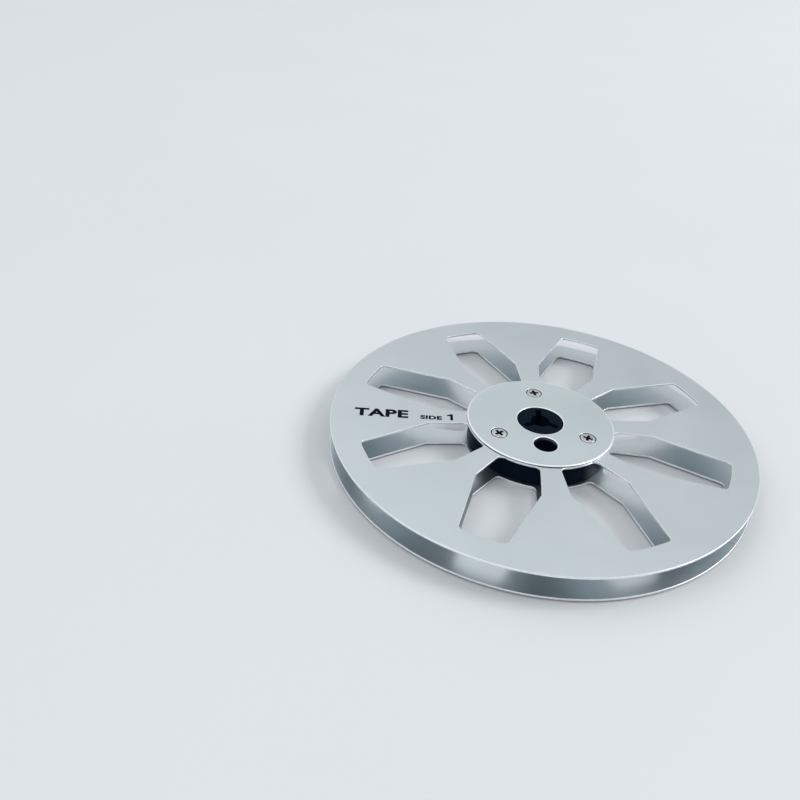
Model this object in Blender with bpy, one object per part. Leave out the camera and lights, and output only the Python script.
"""Empty seven-inch tape reel: two windowed metal flanges clamped to a moulded hub.

The reel lies flat with its axis along Z. Side 1 faces up, the origin is on the axis at the
level of the lowest face, and one spoke with one pair of screws points along +Y.
"""

import math

import bmesh
import bpy
from mathutils import Vector

MM = 0.001

# Flanges
REEL_RADIUS = 88.9 * MM
FLANGE_THICKNESS = 0.9 * MM
FLANGE_GAP = 9.5 * MM
WINDOW_COUNT = 8
WINDOW_OUTER_RADIUS = 78.1 * MM
WINDOW_OUTER_HALF_WIDTH = 9.1 * MM
WINDOW_SHOULDER_DISTANCE = 46.1 * MM
WINDOW_SHOULDER_HALF_WIDTH = 13.05 * MM
WINDOW_INNER_RADIUS = 31.3 * MM
WINDOW_INNER_HALF_WIDTH = 8.15 * MM
WINDOW_OUTER_CORNER_RADIUS = 2.2 * MM
WINDOW_INNER_CORNER_RADIUS = 2.4 * MM

# Hub plates
PLATE_RADIUS = 31.1 * MM
PLATE_THICKNESS = 0.5 * MM
PLATE_CHAMFER = 0.3 * MM
PLATE_BORE_RADIUS = 9.8 * MM

# Hub moulding
DRUM_RADIUS = 30.0 * MM
SPIGOT_RADIUS = 26.0 * MM
BOSS_RADIUS = 9.4 * MM
BOSS_CHAMFER = 0.25 * MM
BOSS_RECESS = 0.15 * MM
SPINDLE_RADIUS = 4.05 * MM
SPINDLE_SLOT_COUNT = 3
SPINDLE_SLOT_HALF_WIDTH = 1.2 * MM
SPINDLE_SLOT_TIP_RADIUS = 8.1 * MM
FINGER_HOLE_RADIUS = 4.9 * MM
FINGER_HOLE_DISTANCE = 16.8 * MM
POCKET_INNER_RADIUS = 12.0 * MM
POCKET_OUTER_RADIUS = 23.4 * MM
POCKET_DEPTH = 4.2 * MM
POCKET_ANGLES = ((103, 147), (153, 197), (223, 245))

# Screws and their threaded bushes
SCREW_COUNT = 3
SCREW_CIRCLE_RADIUS = 21.3 * MM
SCREW_HEAD_RADIUS = 3.1 * MM
SCREW_HEAD_LAND = 0.15 * MM
SCREW_SHANK_RADIUS = 1.5 * MM
SCREW_LENGTH = 5.0 * MM
SCREW_RECESS = 0.05 * MM
COUNTERSINK_CLEARANCE = 0.45 * MM
CROSS_HALF_LENGTH = 1.8 * MM
CROSS_HALF_WIDTH = 0.5 * MM
CROSS_DEPTH = 1.1 * MM
CROSS_FLOOR_SCALE = 0.55
BUSH_RADIUS = 2.6 * MM
BUSH_BORE_RADIUS = 1.8 * MM
BUSH_INSET = 0.95 * MM

# Fits
CLEARANCE = 0.25 * MM

# Heights above and below the middle plane of the reel
FLANGE_INNER = FLANGE_GAP / 2
FLANGE_OUTER = FLANGE_INNER + FLANGE_THICKNESS
PLATE_INNER = FLANGE_OUTER + CLEARANCE
PLATE_OUTER = PLATE_INNER + PLATE_THICKNESS
MIDDLE = PLATE_OUTER

# Facets in a full turn
RIM_SEGMENTS = 144
HUB_SEGMENTS = 72
HOLE_SEGMENTS = 24
CORNER_SEGMENTS = 3
ARC_SEGMENTS = 6

ALUMINIUM_FACE = ("satin_aluminium", (0.60, 0.63, 0.65), 0.38, 1.0)
ALUMINIUM_PLATE = ("plate_aluminium", (0.58, 0.62, 0.64), 0.32, 1.0)
BLACK_PLASTIC = ("black_plastic", (0.012, 0.016, 0.022), 0.3, 0.0)
SCREW_STEEL = ("screw_steel", (0.55, 0.55, 0.55), 0.25, 1.0)
BUSH_BRASS = ("bush_brass", (0.75, 0.55, 0.22), 0.3, 1.0)


def clear_scene():
    for item in list(bpy.data.objects):
        bpy.data.objects.remove(item, do_unlink=True)


def make_material(finish):
    name, colour, roughness, metallic = finish
    material = bpy.data.materials.new(name)
    material.use_nodes = True
    shader = material.node_tree.nodes["Principled BSDF"]
    shader.inputs["Base Color"].default_value = (*colour, 1.0)
    shader.inputs["Roughness"].default_value = roughness
    shader.inputs["Metallic"].default_value = metallic
    return material


# Outlines are lists of (x, y) points, all running anticlockwise.


def polar(radius, angle, centre=(0.0, 0.0)):
    return (centre[0] + radius * math.cos(angle), centre[1] + radius * math.sin(angle))


def circle(radius, segments, centre=(0.0, 0.0)):
    return [polar(radius, math.tau * i / segments, centre) for i in range(segments)]


def arc(radius, start, end, segments):
    """Points on an arc about the axis, both ends included."""
    return [polar(radius, start + (end - start) * i / segments) for i in range(segments + 1)]


def rounded_corner(before, corner, after, radius):
    """The corner's point replaced by an arc that touches both of its sides."""
    corner = Vector(corner)
    to_before = (Vector(before) - corner).normalized()
    to_after = (Vector(after) - corner).normalized()
    half_angle = to_before.angle(to_after) / 2
    centre = corner + (to_before + to_after).normalized() * radius / math.sin(half_angle)
    start = corner + to_before * radius / math.tan(half_angle) - centre
    end = corner + to_after * radius / math.tan(half_angle) - centre
    points = []
    for i in range(CORNER_SEGMENTS + 1):
        spoke = start.lerp(end, i / CORNER_SEGMENTS).normalized() * radius
        points.append(tuple(centre + spoke))
    return points


def turned_by(outline, angle):
    cosine = math.cos(angle)
    sine = math.sin(angle)
    return [(x * cosine - y * sine, x * sine + y * cosine) for x, y in outline]


def rounded_polygon(points, corner_radii):
    """Anticlockwise polygon with the given corners rounded; other corners stay sharp."""
    outline = []
    for i, point in enumerate(points):
        radius = corner_radii.get(i, 0.0)
        if radius:
            after = points[(i + 1) % len(points)]
            outline.extend(rounded_corner(points[i - 1], point, after, radius))
        else:
            outline.append(point)
    return outline


def window_outline(axis_angle):
    """One flange window: wide shoulders, straight sides and an arc at each end."""
    outer_angle = math.asin(WINDOW_OUTER_HALF_WIDTH / WINDOW_OUTER_RADIUS)
    inner_angle = math.asin(WINDOW_INNER_HALF_WIDTH / WINDOW_INNER_RADIUS)
    outer_arc = arc(WINDOW_OUTER_RADIUS, -outer_angle, outer_angle, ARC_SEGMENTS)
    inner_arc = arc(WINDOW_INNER_RADIUS, inner_angle, -inner_angle, ARC_SEGMENTS)
    left_shoulder = (WINDOW_SHOULDER_DISTANCE, WINDOW_SHOULDER_HALF_WIDTH)
    right_shoulder = (WINDOW_SHOULDER_DISTANCE, -WINDOW_SHOULDER_HALF_WIDTH)
    points = outer_arc + [left_shoulder] + inner_arc + [right_shoulder]
    last_outer = len(outer_arc) - 1
    first_inner = last_outer + 2
    last_inner = first_inner + len(inner_arc) - 1
    corner_radii = {
        0: WINDOW_OUTER_CORNER_RADIUS,
        last_outer: WINDOW_OUTER_CORNER_RADIUS,
        first_inner: WINDOW_INNER_CORNER_RADIUS,
        last_inner: WINDOW_INNER_CORNER_RADIUS,
    }
    return turned_by(rounded_polygon(points, corner_radii), axis_angle)


def spindle_outline():
    """Round spindle hole with three slots for the spindle's keys, one of them along +Y."""
    slot_edge = math.asin(SPINDLE_SLOT_HALF_WIDTH / SPINDLE_RADIUS)
    pitch = math.tau / SPINDLE_SLOT_COUNT
    lobe = [
        (SPINDLE_SLOT_TIP_RADIUS, -SPINDLE_SLOT_HALF_WIDTH),
        (SPINDLE_SLOT_TIP_RADIUS, SPINDLE_SLOT_HALF_WIDTH),
    ]
    lobe += arc(SPINDLE_RADIUS, slot_edge, pitch - slot_edge, ARC_SEGMENTS)
    outline = []
    for i in range(SPINDLE_SLOT_COUNT):
        outline += turned_by(lobe, math.pi / 2 + i * pitch)
    return outline


def pocket_outline(start_degrees, end_degrees):
    start = math.radians(start_degrees)
    end = math.radians(end_degrees)
    outer = arc(POCKET_OUTER_RADIUS, start, end, ARC_SEGMENTS)
    inner = arc(POCKET_INNER_RADIUS, end, start, ARC_SEGMENTS)
    return outer + inner


def pocket_outlines():
    """Coring pockets on both sides of the line through the axis and the finger hole."""
    outlines = []
    for start, end in POCKET_ANGLES:
        outlines.append(pocket_outline(start, end))
        outlines.append(pocket_outline(180 - end, 180 - start))
    return outlines


def screw_centres():
    angles = [math.pi / 2 + math.tau * i / SCREW_COUNT for i in range(SCREW_COUNT)]
    return [polar(SCREW_CIRCLE_RADIUS, angle) for angle in angles]


def finger_hole():
    return circle(FINGER_HOLE_RADIUS, HOLE_SEGMENTS, (0.0, -FINGER_HOLE_DISTANCE))


# Solids are built from rings of vertices, walls between rings, and flat faces across them.


def add_ring(bm, outline, z):
    return [bm.verts.new((x, y, z)) for x, y in outline]


def add_wall(bm, first, second):
    for i in range(len(first)):
        j = (i + 1) % len(first)
        bm.faces.new((first[i], first[j], second[j], second[i]))


def add_flat_face(bm, rings):
    """Flat face bounded by the first ring, with the other rings as holes in it."""
    edges = []
    for ring in rings:
        for i in range(len(ring)):
            pair = (ring[i - 1], ring[i])
            edges.append(bm.edges.get(pair) or bm.edges.new(pair))
    bmesh.ops.triangle_fill(bm, use_beauty=True, use_dissolve=False, edges=edges)


def add_stack(bm, sections):
    """Walls through a list of (outline, z) sections; returns the first and last rings."""
    rings = [add_ring(bm, outline, z) for outline, z in sections]
    for first, second in zip(rings, rings[1:]):
        add_wall(bm, first, second)
    return rings[0], rings[-1]


def finish_object(name, bm, finish):
    bmesh.ops.recalc_face_normals(bm, faces=bm.faces)
    mesh = bpy.data.meshes.new(name)
    bm.to_mesh(mesh)
    bm.free()
    mesh.shade_smooth()
    mesh.set_sharp_from_angle(angle=math.radians(30))
    mesh.materials.append(make_material(finish))
    part = bpy.data.objects.new(name, mesh)
    bpy.context.collection.objects.link(part)
    return part


def make_flange(name, side):
    """Flat disc with its windows and a centre hole for the hub's spigot."""
    outlines = [circle(REEL_RADIUS, RIM_SEGMENTS)]
    outlines.append(circle(SPIGOT_RADIUS + CLEARANCE, HUB_SEGMENTS))
    for i in range(WINDOW_COUNT):
        outlines.append(window_outline(math.tau * (i + 0.5) / WINDOW_COUNT))
    bm = bmesh.new()
    inner_rings = []
    outer_rings = []
    for outline in outlines:
        sections = [
            (outline, MIDDLE + side * FLANGE_INNER),
            (outline, MIDDLE + side * FLANGE_OUTER),
        ]
        inner_ring, outer_ring = add_stack(bm, sections)
        inner_rings.append(inner_ring)
        outer_rings.append(outer_ring)
    add_flat_face(bm, inner_rings)
    add_flat_face(bm, outer_rings)
    return finish_object(name, bm, ALUMINIUM_FACE)


def make_hub_plate(name, side):
    """Thin disc that clamps a flange, with a bevelled edge and countersunk screw holes."""
    inner = MIDDLE + side * PLATE_INNER
    outer = MIDDLE + side * PLATE_OUTER
    bevel = MIDDLE + side * (PLATE_OUTER - PLATE_CHAMFER)
    countersink_mouth = SCREW_HEAD_RADIUS + COUNTERSINK_CLEARANCE
    countersink_foot = countersink_mouth - PLATE_THICKNESS + SCREW_RECESS + SCREW_HEAD_LAND
    stacks = [
        [
            (circle(PLATE_RADIUS, HUB_SEGMENTS), inner),
            (circle(PLATE_RADIUS, HUB_SEGMENTS), bevel),
            (circle(PLATE_RADIUS - PLATE_CHAMFER, HUB_SEGMENTS), outer),
        ],
        [
            (circle(PLATE_BORE_RADIUS, HUB_SEGMENTS), inner),
            (circle(PLATE_BORE_RADIUS, HUB_SEGMENTS), outer),
        ],
        [(finger_hole(), inner), (finger_hole(), outer)],
    ]
    for centre in screw_centres():
        stacks.append([
            (circle(countersink_foot, HOLE_SEGMENTS, centre), inner),
            (circle(countersink_mouth, HOLE_SEGMENTS, centre), outer),
        ])
    bm = bmesh.new()
    ends = [add_stack(bm, sections) for sections in stacks]
    add_flat_face(bm, [first for first, last in ends])
    add_flat_face(bm, [last for first, last in ends])
    return finish_object(name, bm, ALUMINIUM_PLATE)


def add_hub_side(bm, side):
    """One side of the hub from its boss out to the drum; returns its open rings."""
    boss_top = MIDDLE + side * (PLATE_OUTER - BOSS_RECESS)
    boss_edge = MIDDLE + side * (PLATE_OUTER - BOSS_RECESS - BOSS_CHAMFER)
    face = MIDDLE + side * FLANGE_OUTER
    shoulder = MIDDLE + side * (FLANGE_INNER - CLEARANCE)
    pocket_floor = MIDDLE + side * (FLANGE_OUTER - POCKET_DEPTH)
    spindle = add_ring(bm, spindle_outline(), boss_top)
    boss_first, boss_last = add_stack(bm, [
        (circle(BOSS_RADIUS - BOSS_CHAMFER, HUB_SEGMENTS), boss_top),
        (circle(BOSS_RADIUS, HUB_SEGMENTS), boss_edge),
        (circle(BOSS_RADIUS, HUB_SEGMENTS), face),
    ])
    add_flat_face(bm, [boss_first, spindle])
    spigot_first, spigot_last = add_stack(bm, [
        (circle(SPIGOT_RADIUS, HUB_SEGMENTS), face),
        (circle(SPIGOT_RADIUS, HUB_SEGMENTS), shoulder),
    ])
    through = [add_ring(bm, finger_hole(), face)]
    for centre in screw_centres():
        through.append(add_ring(bm, circle(BUSH_RADIUS + CLEARANCE, HOLE_SEGMENTS, centre), face))
    pockets = []
    for outline in pocket_outlines():
        mouth, floor = add_stack(bm, [(outline, face), (outline, pocket_floor)])
        add_flat_face(bm, [floor])
        pockets.append(mouth)
    add_flat_face(bm, [spigot_first, boss_last] + through + pockets)
    drum = add_ring(bm, circle(DRUM_RADIUS, HUB_SEGMENTS), shoulder)
    add_flat_face(bm, [drum, spigot_last])
    return [spindle, drum] + through


def make_hub(name):
    """Moulded hub: tape drum, spigots for the flanges, keyed centre boss and finger hole."""
    bm = bmesh.new()
    upper = add_hub_side(bm, 1)
    lower = add_hub_side(bm, -1)
    for first, second in zip(upper, lower):
        add_wall(bm, first, second)
    return finish_object(name, bm, BLACK_PLASTIC)


def cross_outline(scale, centre):
    """Plus-shaped outline of a screwdriver recess."""
    length = CROSS_HALF_LENGTH * scale
    width = CROSS_HALF_WIDTH * scale
    arm = [(length, -width), (length, width), (width, width)]
    outline = []
    for i in range(4):
        outline += turned_by(arm, i * math.pi / 2)
    return [(centre[0] + x, centre[1] + y) for x, y in outline]


def make_screw(name, centre, side):
    """Countersunk cross-head screw whose head sits flush in a hub plate."""
    top = PLATE_OUTER - SCREW_RECESS
    cone_depth = SCREW_HEAD_LAND + SCREW_HEAD_RADIUS - SCREW_SHANK_RADIUS
    tip_chamfer = SCREW_SHANK_RADIUS / 3
    levels = [
        (SCREW_HEAD_RADIUS, top),
        (SCREW_HEAD_RADIUS, top - SCREW_HEAD_LAND),
        (SCREW_SHANK_RADIUS, top - cone_depth),
        (SCREW_SHANK_RADIUS, top - SCREW_LENGTH + tip_chamfer),
        (SCREW_SHANK_RADIUS - tip_chamfer, top - SCREW_LENGTH),
    ]
    bm = bmesh.new()
    head, tip = add_stack(bm, [
        (circle(radius, HOLE_SEGMENTS, centre), MIDDLE + side * height) for radius, height in levels
    ])
    mouth, floor = add_stack(bm, [
        (cross_outline(1.0, centre), MIDDLE + side * top),
        (cross_outline(CROSS_FLOOR_SCALE, centre), MIDDLE + side * (top - CROSS_DEPTH)),
    ])
    add_flat_face(bm, [head, mouth])
    add_flat_face(bm, [floor])
    add_flat_face(bm, [tip])
    return finish_object(name, bm, SCREW_STEEL)


def make_bush(name, centre):
    """Threaded bush through the hub, which takes a screw from each side."""
    half_length = FLANGE_OUTER - BUSH_INSET
    bm = bmesh.new()
    ends = []
    for radius in (BUSH_RADIUS, BUSH_BORE_RADIUS):
        outline = circle(radius, HOLE_SEGMENTS, centre)
        ends.append(add_stack(bm, [(outline, MIDDLE - half_length), (outline, MIDDLE + half_length)]))
    add_flat_face(bm, [first for first, last in ends])
    add_flat_face(bm, [last for first, last in ends])
    return finish_object(name, bm, BUSH_BRASS)


def build_reel():
    clear_scene()
    make_flange("upper_flange", 1)
    make_flange("lower_flange", -1)
    make_hub("hub")
    make_hub_plate("upper_hub_plate", 1)
    make_hub_plate("lower_hub_plate", -1)
    for number, centre in enumerate(screw_centres(), start=1):
        make_screw(f"upper_screw_{number}", centre, 1)
        make_screw(f"lower_screw_{number}", centre, -1)
        make_bush(f"threaded_bush_{number}", centre)


build_reel()
